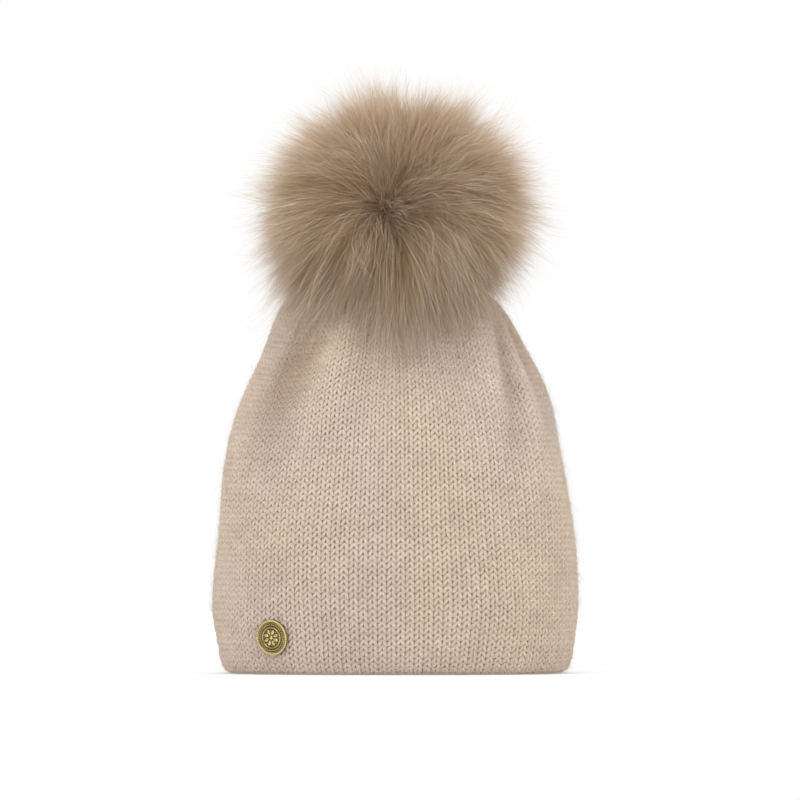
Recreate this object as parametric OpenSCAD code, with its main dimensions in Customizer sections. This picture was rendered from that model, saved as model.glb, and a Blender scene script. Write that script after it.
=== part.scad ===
// Pom pom beanie: a lined knit hat with a snap-on fur pom and a small round metal badge.
// Millimetres. +Z is up, the front with the badge faces -Y. The hat is open as a head fills it
// and stands on its rim: the origin is at the middle of the rim, on the floor.

/* [Knit hat] */
// Half the hat's width at its widest, side to side
half_width = 106; // [100:1:112]
// Half the hat's depth at its widest, front to back
half_depth = 82; // [78:1:88]
// Height from the rim to the top of the crown
crown_z = 232; // [225:1:240]
// How square the hat is seen from above: 2 is an ellipse
squareness = 2.4; // [2:0.1:2.6]
// Thickness of the outer knit
shell_t = 2.6; // [2:0.1:3]
// Thickness of the lining
lining_t = 1.6; // [1.2:0.1:1.8]
// Space between the outer knit and the lining
layer_gap = 1.2; // [1.2:0.1:1.6]
// Height of the hem that is turned up inside
hem_h = 20; // [16:1:24]

/* [Pom] */
// Radius of the fur's outer surface
fur_r = 82; // [74:1:84]
// Radius of the pelt ball under the fur
pelt_r = 30; // [28:1:32]
// Thickness of the pelt
pelt_t = 1.2; // [0.8:0.1:1.6]

/* [Press stud] */
// Radius of the stud's flange and of the cap inside the hat
snap_r = 6.2; // [5.5:0.1:7]
// Radius of the stud's head
stud_head_r = 3; // [2.6:0.1:3.2]

/* [Badge] */
// Radius of the badge over its rim
badge_r = 10.5; // [8:0.5:11]
// Distance of the badge's middle from the hat's middle
badge_x = 71; // [68:0.5:78]
// Height of the badge's middle above the rim
badge_z = 21.5; // [18:0.5:30]

/* [Labels] */
// Width of the woven label at the back
neck_label_w = 34; // [28:1:40]
// Width of the care label that hangs below it
care_label_w = 24; // [18:1:28]
// Length of the care label
care_label_l = 31; // [24:1:32]

/* [Hidden] */
$fn = 48;

depth_share = half_depth / half_width;
around = 40;
steps = 2;
arc_steps = 28;

// Half-width and height of the hat's side, from the crown's eye down to the top of the hem.
hem_half = 0.979 * half_width;
rim_half = 0.934 * half_width;
eye_r = 3.4;
profile = [
    [eye_r, crown_z],
    [9, crown_z],
    [17, crown_z - 0.2],
    [0.32 * half_width, crown_z - 2.8],
    [0.47 * half_width, crown_z - 8],
    [0.60 * half_width, crown_z - 20],
    [0.72 * half_width, 0.806 * crown_z],
    [0.873 * half_width, 0.638 * crown_z],
    [0.969 * half_width, 0.38 * crown_z],
    [half_width, 0.18 * crown_z],
    [hem_half, hem_h],
];

// Inward distances of the layers from the outer surface.
lining_out = shell_t + layer_gap;
lining_in = lining_out + lining_t;
turn_out = lining_in + 0.4;
turn_in = turn_out + 2.2;
slot_z = 5;

// Heights of the crown's layers on the axis.
shell_under = crown_z - shell_t;
lining_top = crown_z - lining_out;
lining_under = crown_z - lining_in;
patch_t = 1.2;
patch_top = lining_under - 0.3;
cap_top = patch_top - patch_t - 0.2;
cap_t = 0.8;
post_r = 1.4;
stud_z = crown_z + 0.2;
stud_flange_t = 0.7;
stud_neck_top = stud_z + 2.8;
stud_top = stud_z + 4.4;
stud_neck_r = stud_head_r - 0.6;

socket_z = stud_z + stud_flange_t + 0.4;
socket_bore_r = stud_head_r + 0.4;
socket_flange_t = 1.3;
socket_collar_r = socket_bore_r + 1;
socket_top = stud_top + 0.8;
spring_wire_r = 0.35;
spring_z = socket_z + 0.8;

base_r = 15;
base_z = socket_z + socket_flange_t + 0.1;
base_t = 1.2;
base_hole_r = socket_collar_r + 0.1;
ring_z = base_z + base_t + 0.1;
ring_t = 0.9;

pelt_mouth_r = 14;
pelt_mouth_z = base_z + base_t + 0.3;
pom_z = pelt_mouth_z + sqrt(pelt_r * pelt_r - pelt_mouth_r * pelt_mouth_r);
fur_gap = 1.5;
fur_hole_r = 17;
fur_core_r = pelt_r + 0.6;

// ---- Shape helpers ----

// A point between b and c on the smooth curve that also runs through a and d.
function curve_point(a, b, c, d, t) =
    0.5 * (2 * b + (c - a) * t + (2 * a - 5 * b + 4 * c - d) * t * t
           + (3 * b - a - 3 * c + d) * t * t * t);

function at(points, i) = points[min(max(i, 0), len(points) - 1)];

// The smooth curve through all the points.
function curve(points) = [
    for (i = [0 : len(points) - 2])
        for (k = [0 : steps - 1])
            curve_point(at(points, i - 1), points[i], points[i + 1], at(points, i + 2), k / steps),
    points[len(points) - 1],
];

side = curve(profile);

// The outward normal of the side at point i.
function side_normal(i) =
    let (run = at(side, i + 1) - at(side, i - 1))
    [-run[1], run[0]] / norm(run);

// The hat's outline at height z inside the hem, where the knit rolls in towards the rim.
function hem_width(z) = rim_half + (hem_half - rim_half) * sin(90 * z / hem_h);

// A ring is [half-width, half-depth, height]: point i of the side, moved in by an inset.
function side_ring(i, inset) =
    let (n = side_normal(i))
    [
        max(side[i][0] - inset * n[0], eye_r),
        max(depth_share * side[i][0] - inset * n[0], depth_share * eye_r),
        side[i][1] - inset * n[1],
    ];

function hem_ring(z, inset) = [
    hem_width(z) - inset,
    depth_share * hem_width(z) - inset,
    z,
];

// The rings down the side to the hem, at one inset.
function side_rings(inset) = [for (i = [0 : len(side) - 2]) side_ring(i, inset)];
function reversed(list) = [for (i = [len(list) - 1 : -1 : 0]) list[i]];

// Points along an arc about the origin, from one angle to another.
function arc(r, from, to) = [
    for (i = [0 : arc_steps])
        let (angle = from + (to - from) * i / arc_steps)
        [r * max(cos(angle), 0), r * sin(angle)],
];

function rounded(v) = sign(v) * pow(abs(v), 2 / squareness);
function ring_point(ring, angle) = [
    ring[0] * rounded(cos(angle)),
    ring[1] * rounded(sin(angle)),
    ring[2],
];
// The direction that the outline faces at this angle, in degrees from +X.
function facing(ring, angle) = atan2(
    sign(sin(angle)) * pow(abs(sin(angle)), 2 - 2 / squareness) / ring[1],
    sign(cos(angle)) * pow(abs(cos(angle)), 2 - 2 / squareness) / ring[0]
);

// A closed skin through rings whose last one joins the first.
module ring_loft(rings) {
    count = len(rings);
    points = [
        for (ring = rings)
            for (k = [0 : around - 1])
                ring_point(ring, 360 * k / around),
    ];
    faces = [
        for (i = [0 : count - 1])
            for (k = [0 : around - 1])
                let (
                    next_ring = (i + 1) % count,
                    next_k = (k + 1) % around,
                    a = i * around + k,
                    b = i * around + next_k,
                    c = next_ring * around + next_k,
                    d = next_ring * around + k
                )
                each [[a, b, c], [a, c, d]],
    ];
    polyhedron(points, faces);
}

module tube(outer_r, inner_r, z, height) {
    translate([0, 0, z])
        difference() {
            cylinder(r = outer_r, h = height);
            translate([0, 0, -1])
                cylinder(r = inner_r, h = height + 2);
        }
}

module thread_ring(ring_r, thread_r, z) {
    translate([0, 0, z])
        rotate_extrude()
            translate([ring_r, 0])
                circle(r = thread_r, $fn = 24);
}

// ---- Knit hat ----

// The outer knit and its hem: down the outside, round the fold, up inside, then back.
module knit_shell() {
    outside = concat(side_rings(0), [for (z = [hem_h, 12, 7, 3]) hem_ring(z, 0)]);
    fold = [
        hem_ring(1, 0.9),
        hem_ring(0, 2.4),
        hem_ring(0, turn_in - 2.4),
        hem_ring(1, turn_in - 0.9),
        hem_ring(3, turn_in),
    ];
    turned_up = [
        hem_ring(12, turn_in),
        hem_ring(hem_h, turn_in),
        hem_ring(hem_h, turn_out),
        hem_ring(12, turn_out),
        hem_ring(slot_z, turn_out),
        hem_ring(slot_z, shell_t),
    ];
    inside = concat([hem_ring(12, shell_t), hem_ring(hem_h, shell_t)], reversed(side_rings(shell_t)));
    color("antiquewhite")
        ring_loft(concat(outside, fold, turned_up, inside));
}

// The lining follows the knit and ends in the hem's slot.
module knit_lining() {
    foot_z = slot_z + 1;
    outside = concat(side_rings(lining_out), [for (z = [hem_h, 12, foot_z]) hem_ring(z, lining_out)]);
    inside = concat([for (z = [foot_z, 12, hem_h]) hem_ring(z, lining_in)],
                    reversed(side_rings(lining_in)));
    color("linen")
        ring_loft(concat(outside, inside));
}

// The linked seam that closes the knit panel at the back, between the two layers.
module back_seam() {
    first = 5 * steps;
    last = len(side) - 2;
    seam_half = 1.6;
    near = shell_t + 0.25;
    far = lining_out - 0.3;
    corners = [[seam_half, near], [-seam_half, near], [-seam_half, far], [seam_half, far]];
    count = last - first + 1;
    points = [
        for (i = [first : last])
            for (corner = corners)
                let (ring = side_ring(i, corner[1]))
                [corner[0], ring[1], ring[2]],
    ];
    sides = [
        for (i = [0 : count - 2])
            for (k = [0 : 3])
                let (
                    a = 4 * i + k,
                    b = 4 * i + (k + 1) % 4
                )
                each [[a, b, b + 4], [a, b + 4, a + 4]],
    ];
    end = 4 * (count - 1);
    color("wheat")
        polyhedron(points, concat([[3, 2, 1, 0]], sides, [[end, end + 1, end + 2, end + 3]]));
}

// Running stitches that hold the turned-up hem, two along each flat of its inner face.
module hem_stitches() {
    stitch_l = 5;
    thread_r = 0.35;
    ring = hem_ring(16, turn_in + thread_r + 0.4);
    color("bisque")
        for (k = [0 : around - 1], share = [0.27, 0.73]) {
            start = ring_point(ring, 360 * k / around);
            run = ring_point(ring, 360 * (k + 1) / around) - start;
            translate(start + share * run)
                rotate([0, 90, atan2(run[1], run[0])])
                    cylinder(r = thread_r, h = stitch_l, center = true, $fn = 16);
        }
}

// The yarn that draws the crown's last stitches together.
module crown_gather_yarn() {
    color("wheat")
        thread_ring(7, 0.42, (shell_under + lining_top) / 2);
}

// The felt patch that backs the press stud.
module crown_patch() {
    color("tan")
        tube(9.5, post_r + 0.5, patch_top - patch_t, patch_t);
}

// ---- Press stud ----

// The cap inside the hat, with the post that goes up through the knit.
module snap_post_cap() {
    color("silver")
        union() {
            translate([0, 0, cap_top - cap_t])
                cylinder(r = snap_r, h = cap_t);
            translate([0, 0, cap_top - cap_t / 2])
                cylinder(r = post_r, h = stud_z + 1.6 - cap_top);
        }
}

module snap_stud() {
    bore_r = post_r + 0.02;
    color("silver")
        rotate_extrude()
            polygon([
                [bore_r, stud_z],
                [snap_r, stud_z],
                [snap_r, stud_z + stud_flange_t],
                [stud_neck_r, stud_z + stud_flange_t],
                [stud_neck_r, stud_neck_top - 0.3],
                [stud_head_r, stud_neck_top],
                [stud_head_r, stud_neck_top + 0.8],
                [stud_head_r - 0.8, stud_top],
                [0, stud_top],
                [0, stud_z + 2],
                [bore_r, stud_z + 2],
            ]);
}

// The socket that grips the stud: a flange with a groove for the spring, and a closed collar.
module snap_socket() {
    groove_r = socket_bore_r + 0.95;
    groove_half = 0.45;
    color("silver")
        rotate_extrude()
            polygon([
                [socket_bore_r, socket_z],
                [snap_r, socket_z],
                [snap_r, socket_z + socket_flange_t],
                [socket_collar_r, socket_z + socket_flange_t],
                [socket_collar_r, socket_top],
                [0, socket_top],
                [0, socket_top - 0.4],
                [socket_bore_r, socket_top - 0.4],
                [socket_bore_r, spring_z + groove_half],
                [groove_r, spring_z + groove_half],
                [groove_r, spring_z - groove_half],
                [socket_bore_r, spring_z - groove_half],
            ]);
}

// The wire ring in the socket's groove that the stud's head snaps through.
module snap_spring() {
    color("dimgray")
        thread_ring(socket_bore_r + spring_wire_r + 0.05, spring_wire_r, spring_z);
}

// The ring inside the pom that clenches the socket to its base.
module snap_socket_ring() {
    color("silver")
        tube(snap_r, base_hole_r, ring_z, ring_t);
}

// ---- Pom ----

// The leather disc that closes the pelt and carries the socket.
module pom_base() {
    color("saddlebrown")
        tube(base_r, base_hole_r, base_z, base_t);
}

// Whip stitches from the base's edge to the pelt's.
module pom_base_stitches() {
    stitch_count = 24;
    thread_r = 0.3;
    color("sienna")
        for (i = [0 : stitch_count - 1])
            rotate([0, 0, 360 * i / stitch_count])
                translate([base_r + thread_r + 0.1, 0, base_z - 0.1])
                    cylinder(r = thread_r, h = base_t + 0.4, $fn = 16);
}

// The skin of the pom, gathered to a round mouth below.
module pom_pelt() {
    inner_r = pelt_r - pelt_t;
    mouth_angle = -acos(pelt_mouth_r / pelt_r);
    outer_arc = arc(pelt_r, mouth_angle, 90);
    inner_arc = arc(inner_r, 90, mouth_angle + 3);
    color("peru")
        translate([0, 0, pom_z])
            rotate_extrude()
                polygon(concat(outer_arc, inner_arc));
}

// The thread that draws the pelt's edge together over the base.
module pom_draw_thread() {
    color("sienna")
        thread_ring(pelt_mouth_r - 3, 0.4, pelt_mouth_z + 0.6);
}

// The ball of stuffing that keeps the pelt round.
module pom_filling() {
    filling_r = pelt_r - pelt_t - 0.4;
    floor_z = socket_top + 0.4;
    color("white")
        intersection() {
            translate([0, 0, pom_z])
                sphere(r = filling_r);
            translate([0, 0, floor_z])
                cylinder(r = filling_r + 1, h = 2 * filling_r + 10);
        }
}

// The space that the long fur fills: a ball round the pelt, hollowed below where it lies on the crown.
module pom_fur() {
    hole_angle = -acos(fur_hole_r / fur_core_r);
    core_arc = arc(fur_core_r, 90, hole_angle);
    underside = [
        for (p = side)
            if (p[0] > fur_hole_r && norm([p[0], p[1] - pom_z]) < fur_r - 3)
                [p[0] + fur_gap, p[1] - pom_z + fur_gap],
    ];
    edge = underside[len(underside) - 1];
    outer_arc = arc(fur_r, atan2(edge[1], edge[0]) + 2, 90);
    color("rosybrown")
        translate([0, 0, pom_z])
            rotate_extrude()
                polygon(concat(
                    core_arc,
                    [[fur_hole_r, crown_z - pom_z + fur_gap]],
                    underside,
                    outer_arc
                ));
}

// ---- Badge ----

// Where the badge sits on the hat's front. It leans with the knit, which widens above the rim.
badge_gap = 0.4;
badge_lean = 7;
badge_ring = [hem_half + badge_gap, depth_share * hem_half + badge_gap, badge_z];
badge_angle = 180 + acos(pow(badge_x / badge_ring[0], squareness / 2));
module on_badge() {
    translate(ring_point(badge_ring, badge_angle))
        rotate([90 + badge_lean, 0, facing(badge_ring, badge_angle) + 90])
            children();
}

// The cast face: a shallow dish, a bead border and a plain rosette.
module badge_medallion() {
    dish_r = badge_r - 1.4;
    color("goldenrod")
        on_badge()
            union() {
                translate([0, 0, 0.2])
                    rotate_extrude()
                        polygon([
                            [0, 0],
                            [dish_r, 0],
                            [dish_r, 1.1],
                            [dish_r * 0.72, 1.5],
                            [dish_r * 0.62, 1.5],
                            [dish_r * 0.58, 1.1],
                            [0, 1.4],
                        ]);
                beads(24, dish_r * 0.86, 0.45, 1.5);
                beads(8, dish_r * 0.3, 0.8, 1.5);
                translate([0, 0, 1.6])
                    sphere(r = 1.1, $fn = 24);
            }
}

module beads(count, ring_r, bead_r, z) {
    for (i = [0 : count - 1])
        rotate([0, 0, 360 * i / count])
            translate([ring_r, 0, z])
                sphere(r = bead_r, $fn = 24);
}

// The raised rim round the face.
module badge_bezel() {
    inner_r = badge_r - 1.35;
    color("gold")
        on_badge()
            translate([0, 0, 0.2])
                rotate_extrude()
                    polygon([
                        [inner_r, 0],
                        [badge_r - 0.3, 0],
                        [badge_r, 0.4],
                        [badge_r, 1.8],
                        [badge_r - 0.35, 2.3],
                        [inner_r + 0.35, 2.3],
                        [inner_r, 1.9],
                    ]);
}

washer_t = 0.4;
washer_z = -badge_gap - shell_t - 0.5 - washer_t;

// The two posts behind the badge, through the knit to the washer.
module badge_posts() {
    color("goldenrod")
        on_badge()
            for (x = [-2, 2])
                translate([x, 0, washer_z])
                    cylinder(r = 0.6, h = 0.2 - washer_z, $fn = 24);
}

module badge_washer() {
    color("silver")
        on_badge()
            translate([0, 0, washer_z])
                difference() {
                    cylinder(r = 4, h = washer_t);
                    for (x = [-2, 2])
                        translate([x, 0, -1])
                            cylinder(r = 0.65, h = 3, $fn = 24);
                }
}

// ---- Labels ----

label_top = 80;
label_foot = 58;
label_y = half_depth - lining_in - 2.9;
label_t = 0.7;

// The woven label on the lining at the back.
module neck_label() {
    color("ivory")
        translate([-neck_label_w / 2, label_y - label_t, label_foot])
            cube([neck_label_w, label_t, label_top - label_foot]);
}

// Stitches along the label's two ends.
module neck_label_stitches() {
    thread_r = 0.25;
    color("bisque")
        for (x = [-1, 1])
            for (z = [label_foot + 2.5 : 3.4 : label_top - 2])
                translate([x * (neck_label_w / 2 - 2), label_y - label_t - thread_r - 0.02, z])
                    cylinder(r = thread_r, h = 2.2, center = true, $fn = 16);
}

// The satin care label, which hangs from the woven label's lower edge.
module care_label() {
    color("white")
        translate([-care_label_w / 2, label_y - label_t, label_foot - 0.5 - care_label_l])
            cube([care_label_w, label_t, care_label_l]);
}

knit_shell();
knit_lining();
back_seam();
hem_stitches();
crown_gather_yarn();
crown_patch();
snap_post_cap();
snap_stud();
snap_socket();
snap_spring();
snap_socket_ring();
pom_base();
pom_base_stitches();
pom_pelt();
pom_draw_thread();
pom_filling();
pom_fur();
badge_medallion();
badge_bezel();
badge_posts();
badge_washer();
neck_label();
neck_label_stitches();
care_label();
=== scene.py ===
# Pom pom beanie: stockinette yarn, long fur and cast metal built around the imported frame.
import math

import bpy
import numpy as np
from mathutils import Matrix, Vector


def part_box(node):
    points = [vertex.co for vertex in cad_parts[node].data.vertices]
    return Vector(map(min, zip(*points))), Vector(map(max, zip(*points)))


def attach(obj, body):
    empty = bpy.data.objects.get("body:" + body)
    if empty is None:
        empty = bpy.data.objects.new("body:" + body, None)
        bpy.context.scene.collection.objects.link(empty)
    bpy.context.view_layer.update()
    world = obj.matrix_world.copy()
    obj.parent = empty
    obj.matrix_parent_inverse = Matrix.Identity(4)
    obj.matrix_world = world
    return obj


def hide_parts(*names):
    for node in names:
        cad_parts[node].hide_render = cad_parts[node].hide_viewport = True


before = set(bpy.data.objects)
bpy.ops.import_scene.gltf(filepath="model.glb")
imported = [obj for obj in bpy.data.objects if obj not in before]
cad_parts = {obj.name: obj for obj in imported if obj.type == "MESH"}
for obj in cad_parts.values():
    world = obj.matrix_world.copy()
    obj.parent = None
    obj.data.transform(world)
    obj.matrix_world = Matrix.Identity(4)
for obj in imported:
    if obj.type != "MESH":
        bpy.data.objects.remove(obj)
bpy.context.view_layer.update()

MM = 0.001

# ---- Dimensions, from the frame ----

HALF_WIDTH, HALF_DEPTH, CROWN_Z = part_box("knit_shell")[1]
DEPTH_SHARE = HALF_DEPTH / HALF_WIDTH
SQUARENESS = 2.4
HEM_HALF = 0.979 * HALF_WIDTH
RIM_HALF = 0.934 * HALF_WIDTH
HEM_H = 20 * MM
HEM_T = 8 * MM
EYE_R = 3.4 * MM

PELT_LOW, PELT_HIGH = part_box("pom_pelt")
PELT_R = (PELT_HIGH.x - PELT_LOW.x) / 2
POM = Vector((0, 0, PELT_HIGH.z - PELT_R))
FUR_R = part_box("pom_fur")[1].x

BADGE_LEAN = math.radians(7)
BEZEL_T = 2.3 * MM

WALES = 112
WALE_W = 5.0 * MM
COURSE_H = 3.5 * MM
YARN_R = 1.18 * MM
LEG_DEPTH = 0.75 * MM


def srgb(*values):
    """An sRGB colour of 0-255 values as the linear colour that shaders take."""
    shares = [v / 255 for v in values]
    return tuple(v / 12.92 if v <= 0.04045 else ((v + 0.055) / 1.055) ** 2.4 for v in shares) + (1,)


CREAM = srgb(222, 204, 184)
CREAM_PALE = srgb(234, 220, 204)
FUR_ROOT = np.array(srgb(153, 117, 79)[:3])
FUR_MID = np.array(srgb(194, 161, 120)[:3])
FUR_TIP = np.array(srgb(234, 222, 207)[:3])
FUR_PALE = np.array(srgb(247, 240, 230)[:3])
GOLD = srgb(226, 206, 150)
GOLD_DARK = srgb(58, 51, 28)
WHITE = (1, 1, 1, 1)
BLACK = (0, 0, 0, 1)


# ---- Mesh helpers ----

def mesh_object(name, points, faces, material, tint=None, uv=None):
    """A smooth mesh object from an array of points and one or more arrays of faces."""
    groups = faces if isinstance(faces, list) else [faces]
    corners = np.concatenate([np.ravel(group) for group in groups]).astype(np.int32)
    sizes = np.concatenate([np.full(len(group), group.shape[1], np.int32) for group in groups])
    mesh = bpy.data.meshes.new(name)
    mesh.vertices.add(len(points))
    mesh.vertices.foreach_set("co", np.asarray(points, np.float32).ravel())
    mesh.loops.add(len(corners))
    mesh.loops.foreach_set("vertex_index", corners)
    mesh.polygons.add(len(sizes))
    mesh.polygons.foreach_set("loop_start", np.cumsum(sizes, dtype=np.int32) - sizes)
    mesh.update(calc_edges=True)
    mesh.shade_smooth()
    if tint is not None:
        layer = mesh.color_attributes.new("tint", "FLOAT_COLOR", "POINT")
        layer.data.foreach_set("color", np.asarray(tint, np.float32).ravel())
    if uv is not None:
        layer = mesh.uv_layers.new(name="Fabric")
        layer.data.foreach_set("uv", np.asarray(uv, np.float32)[corners].ravel())
    mesh.materials.append(material)
    made = bpy.data.objects.new(name, mesh)
    bpy.context.scene.collection.objects.link(made)
    return made


def mesh_piece(name, points, faces, material, body, tint=None, uv=None):
    """A mesh object that rides on a body."""
    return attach(mesh_object(name, points, faces, material, tint, uv), body)


def opaque(rgb):
    """Colours with a full alpha added; single values become greys first."""
    if rgb.shape[-1] == 1:
        rgb = np.repeat(rgb, 3, axis=-1)
    return np.insert(rgb, 3, 1.0, axis=-1)


def thicken(piece, thickness):
    """Gives a thin sheet its real thickness, half to each side."""
    solid = piece.modifiers.new("thickness", "SOLIDIFY")
    solid.thickness = thickness
    solid.offset = 0


def grid_faces(rows, columns, closed_columns=False, closed_rows=False):
    """Quads over a grid of points stored row by row."""
    row = np.arange(rows if closed_rows else rows - 1)[:, None]
    column = np.arange(columns if closed_columns else columns - 1)[None, :]
    next_row = (row + 1) % rows
    next_column = (column + 1) % columns
    quads = np.stack([
        row * columns + column,
        row * columns + next_column,
        next_row * columns + next_column,
        next_row * columns + column,
    ], axis=-1)
    return quads.reshape(-1, 4)


def fan(columns, ring_start, middle):
    """Triangles between one row of a grid and a middle point."""
    ring = np.arange(columns)
    return np.stack([
        np.full(columns, middle),
        ring_start + (ring + 1) % columns,
        ring_start + ring,
    ], axis=1)


def full_turn(count):
    """Even angles round a circle."""
    return 2 * math.pi * np.arange(count) / count


def unit(vectors):
    return vectors / np.maximum(np.linalg.norm(vectors, axis=-1, keepdims=True), 1e-12)


def tube(centres, normals, radii, sides):
    """The points and faces of a tube round a closed line, whose section starts towards the normals."""
    tangents = unit(np.roll(centres, -1, axis=0) - np.roll(centres, 1, axis=0))
    across = unit(np.cross(tangents, normals))
    up = np.cross(across, tangents)
    angles = full_turn(sides)
    ring = (across[:, None, :] * np.cos(angles)[None, :, None]
            + up[:, None, :] * np.sin(angles)[None, :, None])
    points = centres[:, None, :] + ring * np.reshape(radii, (-1, 1, 1))
    return points.reshape(-1, 3), grid_faces(len(centres), sides, True, True)


def joined(parts):
    """One set of points and faces from several."""
    points, faces, start = [], [], 0
    for part_points, part_faces in parts:
        points.append(part_points)
        faces.append(part_faces + start)
        start += len(part_points)
    return np.concatenate(points), np.concatenate(faces)


def ribbons(paths, half_widths, across):
    """Thin pointed strips along many paths of equal length: the points and the triangles."""
    count, steps, _ = paths.shape
    offset = across[:, None, :] * half_widths[:, :, None]
    pairs = np.stack([paths[:, :-1] - offset[:, :-1], paths[:, :-1] + offset[:, :-1]], axis=2)
    points = np.concatenate([pairs.reshape(count, -1, 3), paths[:, -1:]], axis=1)
    size = 2 * (steps - 1) + 1
    strip = []
    for k in range(steps - 2):
        a = 2 * k
        strip += [(a, a + 1, a + 3), (a, a + 3, a + 2)]
    strip.append((size - 3, size - 2, size - 1))
    faces = np.array(strip)[None] + (np.arange(count) * size)[:, None, None]
    return points.reshape(-1, 3), faces.reshape(-1, 3)


def ribbon_values(values):
    """Spreads values given per path point over a ribbon's own points."""
    pairs = np.repeat(values[:, :-1], 2, axis=1)
    return np.concatenate([pairs, values[:, -1:]], axis=1).reshape(-1, *values.shape[2:])


def smooth_line(controls, per_span):
    """Points on the smooth curve through the controls."""
    p = np.asarray(controls, float)
    before = np.concatenate([p[:1], p[:-2]])
    after = np.concatenate([p[2:], p[-1:]])
    line = []
    for k in range(per_span):
        t = k / per_span
        line.append(0.5 * (2 * p[:-1] + (p[1:] - before) * t
                           + (2 * before - 5 * p[:-1] + 4 * p[1:] - after) * t ** 2
                           + (3 * p[:-1] - before - 3 * p[1:] + after) * t ** 3))
    return np.concatenate([np.stack(line, axis=1).reshape(-1, p.shape[1]), p[-1:]])


# ---- The hat's surface ----
# Along: metres up the cloth, from the hem's inner edge, round the fold, to the crown's eye.
# Round: turns about the hat, from 0 at the back through 0.25 on the left and 0.5 in front.

def hem_width(z):
    return RIM_HALF + (HEM_HALF - RIM_HALF) * np.sin(np.clip(z / HEM_H, 0, 1) * math.pi / 2)


def side_section():
    """The cloth's section as rows of outline half-width, inset and height."""
    fold_r = HEM_T / 2
    inner_z = np.linspace(HEM_H, fold_r, 12)
    inner = np.stack([hem_width(inner_z), np.full(12, HEM_T), inner_z], axis=1)
    turn = np.linspace(math.pi, 0, 16)[1:-1]
    fold_z = fold_r * (1 - np.sin(turn))
    fold = np.stack([hem_width(fold_z), fold_r - fold_r * np.cos(turn), fold_z], axis=1)
    outer_z = np.linspace(fold_r, HEM_H, 12)[:-1]
    outer = np.stack([hem_width(outer_z), np.zeros(11), outer_z], axis=1)
    controls = [
        (HEM_HALF, HEM_H),
        (HALF_WIDTH, 0.18 * CROWN_Z),
        (0.969 * HALF_WIDTH, 0.38 * CROWN_Z),
        (0.873 * HALF_WIDTH, 0.638 * CROWN_Z),
        (0.72 * HALF_WIDTH, 0.806 * CROWN_Z),
        (0.60 * HALF_WIDTH, CROWN_Z - 20 * MM),
        (0.47 * HALF_WIDTH, CROWN_Z - 8 * MM),
        (0.32 * HALF_WIDTH, CROWN_Z - 2.8 * MM),
        (17 * MM, CROWN_Z - 0.2 * MM),
        (9 * MM, CROWN_Z),
        (EYE_R, CROWN_Z),
    ]
    side = smooth_line(controls, 12)
    side = np.stack([side[:, 0], np.zeros(len(side)), side[:, 1]], axis=1)
    return np.concatenate([inner, fold, outer, side])


SECTION = side_section()
SECTION_RUN = np.stack([SECTION[:, 0] - SECTION[:, 1], SECTION[:, 2]], axis=1)
ALONG = np.concatenate([[0], np.cumsum(np.linalg.norm(np.diff(SECTION_RUN, axis=0), axis=1))])
CLOTH_L = ALONG[-1]
SECTION_TANGENT = unit(np.gradient(SECTION_RUN, ALONG, axis=0))


def outline_table(count=4000):
    """The outline's x and y shares at even distances round it, from the back, as turns grow."""
    angle = np.linspace(0, 2 * math.pi, count) + math.pi / 2
    x = np.sign(np.cos(angle)) * np.abs(np.cos(angle)) ** (2 / SQUARENESS)
    y = np.sign(np.sin(angle)) * np.abs(np.sin(angle)) ** (2 / SQUARENESS)
    steps = np.hypot(np.diff(x), DEPTH_SHARE * np.diff(y))
    turns = np.concatenate([[0], np.cumsum(steps)])
    return turns / turns[-1], x, y, turns[-1]


TURNS, SHARE_X, SHARE_Y, ROUND_PER_HALF = outline_table()


# Place round the hat, lean with height, depth in mm, width in turns, height share of the middle.
PLEATS = [
    (0.357, 0.04, -7.5, 0.038, 0.81),
    (0.420, 0.04, 2.4, 0.022, 0.78),
    (0.652, 0.11, -3.6, 0.016, 0.78),
    (0.700, 0.06, -3.0, 0.034, 0.86),
    (0.678, 0.11, 2.2, 0.014, 0.74),
    (0.620, 0.08, 1.2, 0.016, 0.72),
    (0.455, 0.02, -1.5, 0.014, 0.92),
    (0.550, -0.02, -1.4, 0.013, 0.92),
    (0.130, 0.02, -3.5, 0.016, 0.80),
    (0.750, 0.00, -4.0, 0.060, 0.98),
    (0.880, -0.02, -4.0, 0.015, 0.78),
]


def creases(turn, z):
    """The pleats that the weight of the pom presses into the knit, in metres outwards."""
    total = 0
    for place, lean, depth, width, middle in PLEATS:
        offset = (turn - place - lean * (z / CROWN_Z - 0.75) + 0.5) % 1 - 0.5
        reach = np.exp(-((z / CROWN_Z - middle) / 0.2) ** 2)
        total = total + depth * MM * np.exp(-(offset / width) ** 2) * reach
    return total


def soft_shape(turn, z):
    """How far the soft cloth stands out from the smooth outline, and how far its rim lifts."""
    angle = 2 * math.pi * turn
    high = np.clip((z - 0.42 * CROWN_Z) / (0.5 * CROWN_Z), 0, 1)
    gathers = (1.3 * np.cos(11 * angle + 1.1) + 0.9 * np.cos(17 * angle + 4.0)
               + 0.7 * np.cos(7 * angle + 2.3)) * high ** 1.6
    rolls = (0.9 * np.cos(3 * angle + 14 * z / CROWN_Z) + 0.7 * np.cos(5 * angle - 9 * z / CROWN_Z + 2)
             + 0.5 * np.cos(8 * angle + 6 * z / CROWN_Z + 1))
    calm = np.clip(z / (0.16 * CROWN_Z), 0, 1)
    hem_line = -0.7 * np.exp(-((z - 0.7 * HEM_H) / (2.4 * MM)) ** 2)
    back_line = -0.9 * np.exp(-(((turn + 0.5) % 1 - 0.5) / 0.0035) ** 2)
    out = (gathers + rolls * calm + hem_line + back_line) * MM + creases(turn, z)
    lift = 0.45 + 0.15 * np.cos(5 * angle + 2.2)
    return out, lift * MM * np.exp(-(z / (0.12 * CROWN_Z)) ** 2)


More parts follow.
